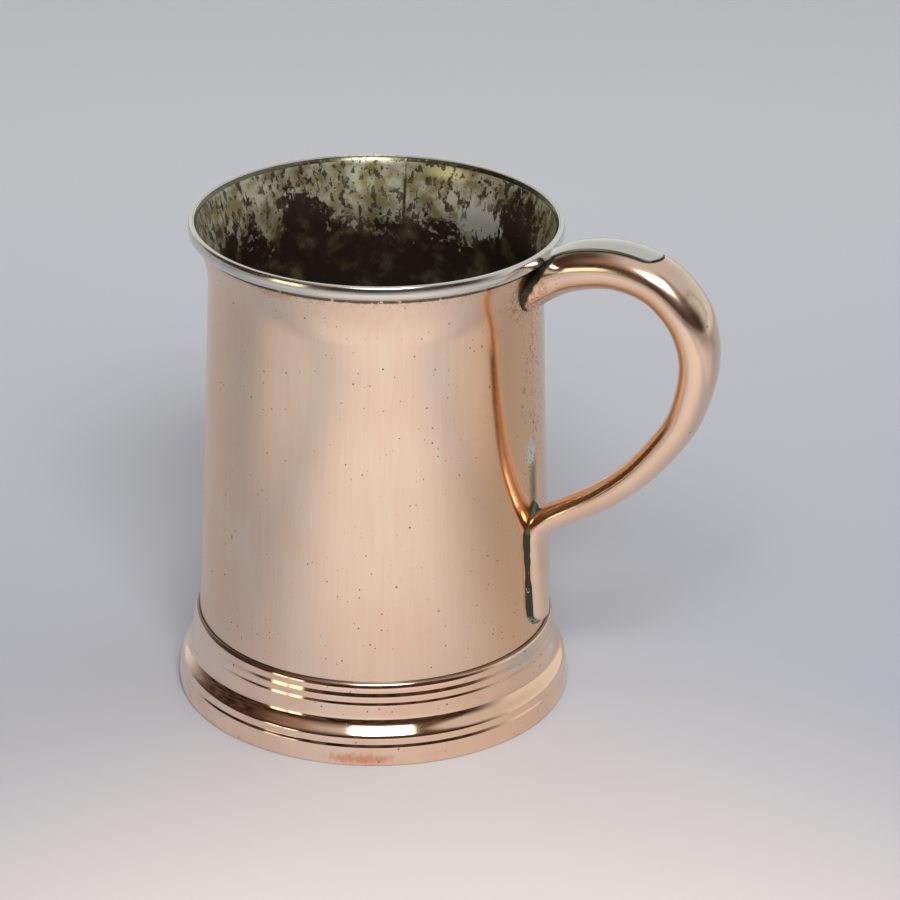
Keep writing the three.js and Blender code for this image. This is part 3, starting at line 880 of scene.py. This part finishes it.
class Finish:
    """A material with one Principled shader, laid out in millimetres round the barrel's axis."""

    def __init__(self, name, **constants):
        self.material = bpy.data.materials.new(name)
        self.material.use_nodes = True
        self.tree = self.material.node_tree
        self.shader = self.tree.nodes["Principled BSDF"]
        for key, value in constants.items():
            self.shader.inputs[key.replace("_", " ")].default_value = value
        metres = Flow(self.tree).node("TexCoord", output="Object")
        self.place = metres.node("VectorMath", {"operation": "SCALE"}, {0: metres, "Scale": 1000})
        x, self.y, self.z = self.place.parts()
        self.x = x - AXIS_X
        self.ahead = self.x * math.sin(FRONT) - self.y * math.cos(FRONT)
        self.aside = self.x * math.cos(FRONT) + self.y * math.sin(FRONT)

    def set(self, **values):
        for key, value in values.items():
            self.tree.links.new(value.socket, self.shader.inputs[key.replace("_", " ")])

    def stretched(self, grain, shift):
        """The place with each axis divided by a grain in millimetres, moved along by a shift."""
        x, y, z = grain if isinstance(grain, tuple) else (grain,) * 3
        return self.place.node("VectorMath", {"operation": "MULTIPLY_ADD"}, {
            0: self.place, 1: (1 / x, 1 / y, 1 / z), 2: (7.3 * shift, 3.1 * shift, 5.7 * shift),
        })

    def noise(self, grain, detail=3.0, rough=0.55, twist=0.0, shift=0.0):
        """Cloudy noise from 0 to 1 whose lumps are about one grain across, in millimetres."""
        return self.place.node("TexNoise", None, {
            "Vector": self.stretched(grain, shift), "Scale": 1.0,
            "Detail": detail, "Roughness": rough, "Distortion": twist,
        })

    def pits(self, cell, size, share, shift=0.0):
        """Scattered round specks: 1 in the middle of each, 0 between them."""
        cells = self.place.node(
            "TexVoronoi", None, {"Vector": self.stretched(cell, shift), "Scale": 1.0}
        )
        chance = Flow(self.tree, cells.socket.node.outputs["Color"]).parts()[0]
        span = cell[0] if isinstance(cell, tuple) else cell
        reach = ((chance - (1 - share)) / share).larger(0.0) * (size / span) + 0.0001
        return (cells / reach).falls(0.55, 1.0)

    def spot(self, turn, height, half_width, half_height, soft=0.4, ragged=None, amount=0.0):
        """A patch on the barrel's round, placed by its turn from the front in degrees."""
        angle = math.radians(turn)
        across = self.aside * math.cos(angle) - self.ahead * math.sin(angle)
        facing = self.aside * math.sin(angle) + self.ahead * math.cos(angle)
        far = ((across / half_width) ** 2 + ((self.z - height) / half_height) ** 2) ** 0.5
        if ragged is not None:
            far = far + (ragged - 0.5) * amount
        return far.falls(1 - soft, 1 + soft) * facing.rises(0, 5)

    def ball(self, x, y, z, radii, soft=0.4, ragged=None, amount=0.0):
        """A patch round a place of the part, in millimetres from the barrel's axis."""
        steps = ((self.x - x) / radii[0], (self.y - y) / radii[1], (self.z - z) / radii[2])
        far = (steps[0] ** 2 + steps[1] ** 2 + steps[2] ** 2) ** 0.5
        if ragged is not None:
            far = far + (ragged - 0.5) * amount
        return far.falls(1 - soft, 1 + soft)

    def off_plate(self):
        """How far a place is outside the thumb plate's outline, in millimetres."""
        straight = PLATE_REACH - PLATE_HALF_WIDTH
        return ((self.x - straight).larger(0.0) ** 2 + self.y ** 2) ** 0.5 - PLATE_HALF_WIDTH

    def bump(self, height, strength=1.0, depth=0.1):
        """Turns a height from 0 to 1 into a bump of a depth in millimetres."""
        return self.place.node(
            "Bump", None, {"Height": height, "Strength": strength, "Distance": depth * MM}
        )


COPPER = (0.86, 0.615, 0.48, 1)
# Pale copper for the barrel's front: a painted sheen.
COPPER_FRONT_SHEEN = (0.88, 0.72, 0.58, 1)
COPPER_WARM = (0.84, 0.56, 0.37, 1)
COPPER_RED = (0.84, 0.53, 0.37, 1)
COPPER_DARK = (0.20, 0.09, 0.05, 1)
PIT = (0.10, 0.045, 0.03, 1)
TIN = (0.80, 0.79, 0.74, 1)
# Dark solder's colour; it also paints shade under the rim and round the thumb plate's edge.
SOLDER_AND_SHADE_DARK = (0.030, 0.040, 0.029, 1)


def barrel_finish():
    """Satin copper: cloudy tone, faint upright streaks, fine dark pits, and stains at the joints, with
    painted light: a paler front, a painted reflection of the handle, and painted shade under the rim and at
    the far side.
    """
    f = Finish("satin_copper", Metallic=1.0)
    cloud = f.noise(26, 3)
    streak = f.noise((1.1, 1.1, 55), 3, shift=3)
    tone = (cloud * 0.5 + streak * 0.5).rises(0.36, 0.64)
    # Paler towards the front and warmer at the sides: a painted sheen, not a tone of the copper.
    front = f.ahead.rises(0, 50)
    colour = front.colour(COPPER_WARM, COPPER_FRONT_SHEEN)
    colour = (0.35 * tone).colour(colour, COPPER_RED)
    # An orange upright band on the handle's side: a painted reflection of the handle.
    colour = (0.8 * f.spot(56, 85, 21, 90, 0.6)).colour(colour, (0.87, 0.51, 0.27, 1))
    crowd = f.noise(16, 3, shift=9).rises(0.45, 0.6)
    seam = f.spot(66, 92, 5.0, 50, 0.5, cloud, 0.8)
    small = f.pits(1.6, 0.4, 0.45) * (0.3 + 0.7 * crowd).larger(seam)
    along = f.spot(67, 106, 7.5, 40, 0.5, cloud, 0.8)
    grime = along * f.noise((0.8, 0.8, 1.3), 5, 0.7, shift=16).rises(0.54, 0.63)
    along = along * f.noise(3, 3, shift=14).rises(0.4, 0.5)
    small = small.larger(f.pits((0.9, 0.9, 1.3), 0.45, 0.6, shift=12) * along)
    large = f.pits(5.0, 0.6, 0.35, shift=4) * (0.45 + 0.55 * crowd)
    # Darker just under the rim: painted shade under its lower edge.
    under_rim_shade = f.z.rises(145.5, 150.8) * f.noise(0.9, 4, shift=2).rises(0.5, 0.6)
    root = f.spot(60, 142, 9, 8, 0.6, f.noise(2.5, 4), 1.4) * f.noise(0.9, 3).rises(0.42, 0.6)
    bead = f.spot(63.8, 88, 3.2, 3.8, 0.4, f.noise(0.8, 3), 3.0)
    trace = f.spot(65.4, 76, 2.2, 11, 0.8, f.noise(0.7, 4), 1.8)
    wedge = f.spot(58.5, 149.5, 3.4, 10, 0.2, f.noise(1.6, 3), 0.6)
    # A thin dark line just under the rim: painted shade, in dark solder's colour.
    line = f.z.rises(148.7, 149.0) * f.noise(2.4, 3, shift=6).rises(0.25, 0.4)
    orange = f.spot(-33, 148.5, 6, 1.6, 0.6, cloud, 0.6)
    colour = (orange * 0.5).colour(colour, (0.85, 0.42, 0.22, 1))
    # Darker near the barrel's edge on the handle's side, as seen from the front: painted shade.
    far_side_shade = f.spot(82, 95, 7, 80, 0.5)
    # The stain mixes painted shade, under the rim and at the far side, with real grime along the seam.
    stain = (under_rim_shade * 0.45).larger(far_side_shade * 0.2).larger(grime * 0.6)
    colour = stain.colour(colour, COPPER_DARK)
    colour = (root * 0.75).colour(colour, COPPER_DARK)
    colour = (small * 0.75).larger(large * 0.85).colour(colour, PIT)
    colour = (trace * 0.75).colour(colour, (0.10, 0.10, 0.08, 1))
    colour = (bead * (1 - small)).colour(colour, (0.72, 0.73, 0.68, 1))
    colour = (wedge * 0.9).larger(line * 0.85).colour(colour, SOLDER_AND_SHADE_DARK)
    dirt = small.larger(large).larger(root * 0.6).larger(bead * 0.7).larger(trace * 0.6).larger(wedge)
    rough = 0.13 + 0.05 * cloud + 0.03 * streak + 0.3 * dirt - 0.04 * f.spot(50, 80, 14, 90, 0.5)
    height = 0.06 * streak - 0.5 * small.larger(large)
    f.set(Base_Color=colour, Roughness=rough, Normal=f.bump(height, 0.6, 0.06))
    return f.material


def lining_finish():
    """Worn tin: pale patches with ragged edges high on the wall, black and brown below."""
    f = Finish("tin_lining")
    ragged = f.noise(3.2, 6, 0.62, 0.6)
    broad = f.noise(13, 3, 0.5, shift=2)
    edge = 134.0 + 16 * (broad - 0.5)
    edge = edge + 12 * f.spot(-152, 142, 8, 30, 0.6) + 15 * f.spot(122, 142, 14, 30, 0.5)
    level = (f.z - edge) / 7 + (ragged - 0.5) * 6.5 - 0.7 * f.spot(-118, 143, 16, 20, 0.5)
    tin = level.rises(-0.25, 0.35)
    spots = f.pits(2.6, 0.8, 0.6, shift=6).larger(f.pits(1.2, 0.32, 0.5, shift=8))
    sway = 0.5 * (f.noise((4, 4, 9), 2, shift=5) - 0.5)
    crack = f.spot(170.2, 140, 0.5, 12, 0.5, f.noise(1.2, 3), 1.2)
    holes = f.noise((2.0, 2.0, 3.6), 5, 0.6, shift=11).rises(0.53, 0.57)
    tin = tin * (1 - spots.larger(crack).larger(holes * 0.9))
    drips = f.noise((1.6, 1.6, 4.5), 5, 0.6, shift=15)
    grey = f.spot(140, 139.5, 8, 5, 0.12, drips, 3.4)
    # A pale yellow patch high on the back wall: a painted reflection of the window.
    painted_window_glint = f.spot(155.6, 151.6, 6.5, 2.4, 0.6, ragged, 1.0)
    tone = f.noise(6, 4, shift=7)
    pale = tone.rises(0.35, 0.65).colour((0.24, 0.205, 0.095, 1), (0.54, 0.53, 0.40, 1))
    pale = (grey * 0.9).colour(pale, (0.62, 0.62, 0.58, 1))
    pale = (painted_window_glint * 0.8).colour(pale, (0.85, 0.80, 0.42, 1))
    murk = f.noise(7, 4, 0.6, shift=13).rises(0.45, 0.75)
    dark = (0.9 * murk).colour((0.028, 0.018, 0.012, 1), (0.12, 0.105, 0.05, 1))
    shown = tin.larger(grey)
    # The inner lip's edge, dark olive and polished: painted darkness standing for the dark room that it
    # reflects.
    edge = f.z.rises(153.3, 153.6)
    colour = edge.colour(shown.colour(dark, pale), (0.15, 0.15, 0.10, 1))
    f.set(
        Base_Color=colour,
        Roughness=(shown.blend(0.42, 0.36) + 0.15 * (ragged - 0.5) + 0.05 * sway) * (1 - 0.5 * edge),
        Metallic=shown.blend(0.35, 0.55).larger(edge * 0.95),
        Normal=f.bump(shown * 0.6 + 0.4 * ragged, 0.7, 0.12),
    )
    return f.material


def foot_finish():
    """Bright copper, spun: fine rings, small pits on the step, red stain at the flat."""
    f = Finish("foot_copper", Metallic=1.0)
    cloud = f.noise(20, 3, shift=1)
    rings = f.noise((60, 60, 0.5), 2, shift=2)
    specks = f.pits(1.7, 0.42, 0.45, shift=2) * f.noise(9, 2, shift=4).rises(0.4, 0.55)
    red = f.spot(-4, 2.4, 8.5, 1.5, 0.6, f.noise((1.6, 1.6, 4), 4, shift=3), 2.6)
    scuff = f.spot(55, 22.8, 8, 2.6, 0.6, f.noise(1.6, 5, shift=5), 1.8)
    joint = f.z.rises(FOOT_TOP - 0.55, FOOT_TOP - 0.25)
    # Paler on the left and warmer orange on the right, as seen from the front: painted light, not a tone of
    # the copper.
    colour = f.aside.rises(-20, 45).colour((0.96, 0.76, 0.62, 1), (0.95, 0.68, 0.48, 1))
    colour = (0.35 * cloud.rises(0.4, 0.65)).colour(colour, COPPER_RED)
    colour = (red * 0.7).colour(colour, (0.80, 0.33, 0.18, 1))
    colour = (scuff * 0.6).colour(colour, (0.62, 0.60, 0.55, 1))
    colour = (specks * 0.9).colour(colour, COPPER_DARK)
    colour = (joint * 0.85).colour(colour, (0.13, 0.105, 0.07, 1))
    rough = 0.075 + 0.04 * cloud + 0.25 * specks + 0.16 * scuff + 0.2 * red + 0.2 * joint
    height = 0.5 + 0.1 * rings - 0.4 * specks + 0.1 * scuff * f.noise(1.0, 3)
    f.set(Base_Color=colour, Roughness=rough, Normal=f.bump(height, 0.5, 0.04))
    return f.material


def handle_finish():
    """Bright copper, with tin and solder smeared at the root and beyond the thumb plate."""
    f = Finish("handle_copper", Metallic=1.0)
    cloud = f.noise(15, 3, shift=21)
    patch = f.noise(3, 4, shift=22)
    colour = (0.3 * cloud.rises(0.35, 0.7)).colour((0.88, 0.675, 0.52, 1), COPPER_RED)
    smear = f.ball(101, -1, 148, (8, 5.5, 10), 0.5, patch, 1.0)
    oval = f.ball(104, -5.2, 144, (4.6, 3.4, 7.0), 0.2, patch, 0.6)
    ring = oval * (1 - f.ball(104, -5.2, 144, (3.6, 2.7, 5.6), 0.3, patch, 0.9))
    root = f.ball(52, 0, 144, (8.5, 12, 12), 0.4, patch, 1.0)
    speckle = root * f.noise(0.9, 4, shift=23).rises(0.45, 0.6)
    specks = f.pits(2.0, 0.4, 0.3, shift=24) * f.noise(10, 2, shift=25).rises(0.5, 0.6)
    # A dark line round the thumb plate's edges, widest along its near side: painted shade in the gap. The
    # flood below adds real dark solder round the root.
    edge = f.off_plate().falls(0.2, 0.5 + 0.5 * f.x.rises(62, 72) * f.x.falls(80, 90)) * f.z.rises(149, 152)
    round_axis = (f.x ** 2 + f.y ** 2) ** 0.5
    flood = round_axis - 52.1 - 0.54 * (f.z - 138).larger(0.0) + 2.2 * (patch - 0.5)
    edge = edge.larger(flood.falls(-0.3, 0.3))
    colour = (smear * 0.45).colour(colour, (0.66, 0.60, 0.47, 1))
    colour = (ring * 0.55).colour(colour, (0.36, 0.24, 0.17, 1))
    colour = (root * 0.35).colour(colour, (0.80, 0.36, 0.14, 1))
    colour = (speckle * 0.55).colour(colour, COPPER_DARK)
    colour = (specks * 0.8).colour(colour, PIT)
    colour = (edge * 0.95).colour(colour, SOLDER_AND_SHADE_DARK)
    rough = 0.15 + 0.04 * cloud + 0.08 * smear + 0.12 * speckle + 0.2 * specks + 0.2 * edge
    height = 0.5 + 0.1 * patch - 0.4 * specks - 0.2 * speckle
    f.set(Base_Color=colour, Roughness=rough, Normal=f.bump(height, 0.5, 0.05))
    return f.material


def tin_finish():
    """Polished tin on the rim and the thumb plate, with fine scratches along the round."""
    f = Finish("polished_tin", Metallic=1.0)
    cloud = f.noise(8, 3, shift=31)
    lines = f.noise((9, 9, 0.22), 3, shift=32)
    specks = f.pits(1.8, 0.3, 0.35, shift=33)
    # A dark outline round the thumb plate's edge: painted shade where the plate stands proud.
    outline = f.off_plate().rises(-0.45, -0.2) * f.x.rises(58, 59)
    colour = (0.6 * cloud).colour(TIN, (0.62, 0.64, 0.56, 1))
    colour = (specks * 0.7).larger(outline * 0.85).colour(colour, (0.07, 0.075, 0.05, 1))
    rough = 0.10 + 0.09 * cloud + 0.06 * lines + 0.2 * specks
    f.set(Base_Color=colour, Roughness=rough, Normal=f.bump(0.3 * lines - 0.4 * specks, 0.5, 0.04))
    return f.material


def worn_tin_finish():
    """The floor inside: grey tin, with cloudy brown stains."""
    f = Finish("worn_tin", Metallic=0.6)
    cloud = f.noise(9, 5, 0.6, 0.4, shift=41)
    stain = cloud.rises(0.42, 0.62)
    colour = stain.colour((0.40, 0.38, 0.30, 1), (0.07, 0.05, 0.03, 1))
    f.set(
        Base_Color=colour, Roughness=0.4 + 0.15 * cloud,
        Normal=f.bump(f.noise(0.8, 4, shift=42), 0.5, 0.08),
    )
    return f.material


def solder_finish():
    """Soft solder gone dark: green-black, with bright tin where it has been rubbed."""
    f = Finish("dull_solder")
    lumps = f.noise(1.1, 4, shift=51)
    rubbed = f.noise(2.2, 5, shift=52).rises(0.62, 0.70)
    low_end = f.z.falls(31, 34) * f.noise(1.5, 3, shift=53).rises(0.35, 0.55)
    bright = rubbed.larger(low_end)
    f.set(
        Base_Color=bright.colour(SOLDER_AND_SHADE_DARK, (0.52, 0.53, 0.46, 1)),
        Metallic=bright.blend(0.35, 0.95),
        Roughness=bright.blend(0.5, 0.25),
        Normal=f.bump(lumps, 0.8, 0.18),
    )
    return f.material


# Studio


def make_camera():
    turn, tilt, roll = map(math.radians, (CAMERA_TURN, CAMERA_TILT, CAMERA_ROLL))
    ahead = Vector((-math.sin(turn) * math.cos(tilt), math.cos(turn) * math.cos(tilt), -math.sin(tilt)))
    right = Vector((math.cos(turn), math.sin(turn), 0))
    up = right.cross(ahead)
    across = right * math.cos(roll) + up * math.sin(roll)
    upright = up * math.cos(roll) - right * math.sin(roll)
    data = bpy.data.cameras.new("camera")
    data.sensor_width = 36
    data.lens = CAMERA_LENS
    data.clip_start, data.clip_end = 0.05, 20
    camera = bpy.data.objects.new("camera", data)
    bpy.context.scene.collection.objects.link(camera)
    matrix = Matrix((across, upright, -ahead)).transposed().to_4x4()
    matrix.translation = from_front(CAMERA_OUT, 0, CAMERA_HEIGHT)
    camera.matrix_world = matrix
    bpy.context.scene.camera = camera


def from_front(ahead, aside, height):
    """A place given from the barrel's axis, towards the front and to the right, in metres."""
    return Vector((
        AXIS_X + ahead * math.sin(FRONT) + aside * math.cos(FRONT),
        -ahead * math.cos(FRONT) + aside * math.sin(FRONT),
        height,
    )) * MM


def make_floor_paper():
    deselect()
    bpy.ops.mesh.primitive_circle_add(vertices=128, radius=3.0, fill_type="NGON")
    paper = bpy.context.object
    paper.name = "studio_paper"
    f = Finish("studio_paper", Roughness=0.75, Specular_IOR_Level=0.2)
    away = -f.ahead
    # The paper is painted darker towards the front and paler towards the back: painted light.
    colour = away.rises(-200, 600).colour(srgb(180, 184, 194), srgb(240, 246, 255))
    # A brighter patch in front of the tankard and at the sides beyond it: a painted pool of light.
    near = ((f.aside - 20) ** 2 + (f.ahead - 280) ** 2) ** 0.5
    beyond = abs(f.aside - 10).rises(190, 300) * f.ahead.rises(-20, 150)
    painted_light_pool = near.falls(115, 315).larger(beyond * 0.75)
    f.set(Base_Color=painted_light_pool.colour(colour, srgb(234, 227, 225)))
    paper.data.materials.append(f.material)


def make_soft_box():
    """A soft box in front and above, with a soft edge: one lamp over a wider and a widest one."""
    turn, rise = map(math.radians, (BOX_TURN, BOX_RISE))
    level = BOX_AWAY * math.cos(rise)
    middle = from_front(0, 0, 80)
    place = from_front(level * math.cos(turn), level * math.sin(turn), 80 + BOX_AWAY * math.sin(rise))
    for name, share, wider in BOX_LAYERS:
        data = bpy.data.lights.new(name, "AREA")
        data.shape = "RECTANGLE"
        data.size, data.size_y = (side * wider * MM for side in BOX_SIZE)
        data.energy = BOX_POWER * share
        lamp = bpy.data.objects.new(name, data)
        bpy.context.scene.collection.objects.link(lamp)
        lamp.location = place
        lamp.rotation_euler = (middle - place).to_track_quat("-Z", "Y").to_euler()


def make_room():
    """Pale all round, with the dark side of a room and a window in front of the tankard."""
    world = bpy.data.worlds.new("studio")
    world.use_nodes = True
    bpy.context.scene.world = world
    tree = world.node_tree
    start = Flow(tree).node("TexCoord", output="Generated")
    x, y, z = start.parts()
    ahead = x * math.sin(FRONT) - y * math.cos(FRONT)
    aside = x * math.cos(FRONT) + y * math.sin(FRONT)
    turn = aside.maths("ARCTAN2", aside, ahead) * (180 / math.pi)
    rise = z.maths("ARCSINE", z) * (180 / math.pi)
    mottle = start.node("TexNoise", None, {"Vector": start, "Scale": 9.0, "Detail": 4.0})
    over = rise - 12 * turn.rises(10, 26) + 36 * turn.rises(38, 62) - 16 * turn.falls(-70, -40)
    dark = turn.rises(-150, -112) * turn.falls(58, 92) * over.falls(40, 68) * rise.rises(-3, 0)
    room = mottle.rises(0.35, 0.75).colour((0.012, 0.007, 0.005, 1), (0.14, 0.08, 0.055, 1))
    shade = turn.rises(20, 28) * turn.falls(38, 48)
    brown = rise.rises(24, 46) * turn.rises(-95, -55) * (1 - 0.8 * shade)
    room = brown.colour(room, (0.30, 0.19, 0.14, 1))
    pale = rise.rises(0, 50).colour((0.78, 0.77, 0.76, 1), (0.60, 0.59, 0.58, 1))
    panes = rise.rises(-4, -3) * rise.falls(11.5, 12.5)
    left = turn.rises(-63.3, -62.7) * turn.falls(-53.3, -52.7)
    right = turn.rises(-51.9, -51.3) * turn.falls(-43.3, -42.7)
    glass = panes * left.larger(right)
    seen = dark.colour(pale, room)
    seen = glass.colour(seen, (1.9, 1.8, 1.25, 1))
    camera_ray = start.node("LightPath", output="Is Camera Ray")
    shown = camera_ray.colour(seen, srgb(190, 192, 198))
    background = tree.nodes["Background"]
    tree.links.new(shown.socket, background.inputs["Color"])
    background.inputs["Strength"].default_value = 1.0
    bpy.context.scene.view_settings.view_transform = "Standard"


# Assembly


def paint(piece, material):
    piece.data.materials.clear()
    piece.data.materials.append(material)


def line_inside(barrel, lining, trim):
    """Gives the barrel's inside its tin and its lip the rim's finish."""
    barrel.data.materials.append(lining)
    barrel.data.materials.append(trim)
    for face in barrel.data.polygons:
        middle = face.center
        inward = face.normal.x * (middle.x - AXIS_X * MM) + face.normal.y * middle.y < 0
        if middle.z > (LIP_HEIGHT + 0.02) * MM:
            face.material_index = 2
        elif inward or face.normal.z < -0.9:
            face.material_index = 1


make_camera()
make_floor_paper()
make_soft_box()
make_room()

copper = barrel_finish()
lining = lining_finish()
trim = tin_finish()
solder = solder_finish()
bright_copper = handle_finish()
foot_copper = foot_finish()
floor_tin = worn_tin_finish()

barrel = make_barrel()
handle = make_handle(skinned("plate_pocket", plate_rows(0.15)))
pieces = (
    (barrel, "barrel", copper, "barrel_copper"),
    (make_rim(), "rim_moulding", trim, "tinned_trim"),
    (make_floor(), "floor_disc", floor_tin, "tinned_floor"),
    (make_floor_fillet(), "floor_solder", solder, "solder"),
    (make_foot(), "foot_moulding", foot_copper, "polished_copper"),
    (handle, "handle", bright_copper, "polished_copper"),
    (make_plate(), "thumb_plate", trim, "tinned_trim"),
    (make_root_solder(), "root_solder", solder, "solder"),
    (make_tail_solder(), "tail_solder", solder, "solder"),
)
for piece, node, material, slot in pieces:
    smooth(piece)
    paint(piece, material)
    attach(piece, "root")
    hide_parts(node)
line_inside(barrel, lining, trim)
for material_slot in bpy.data.objects["foot_solder"].material_slots:
    material_slot.material = solder
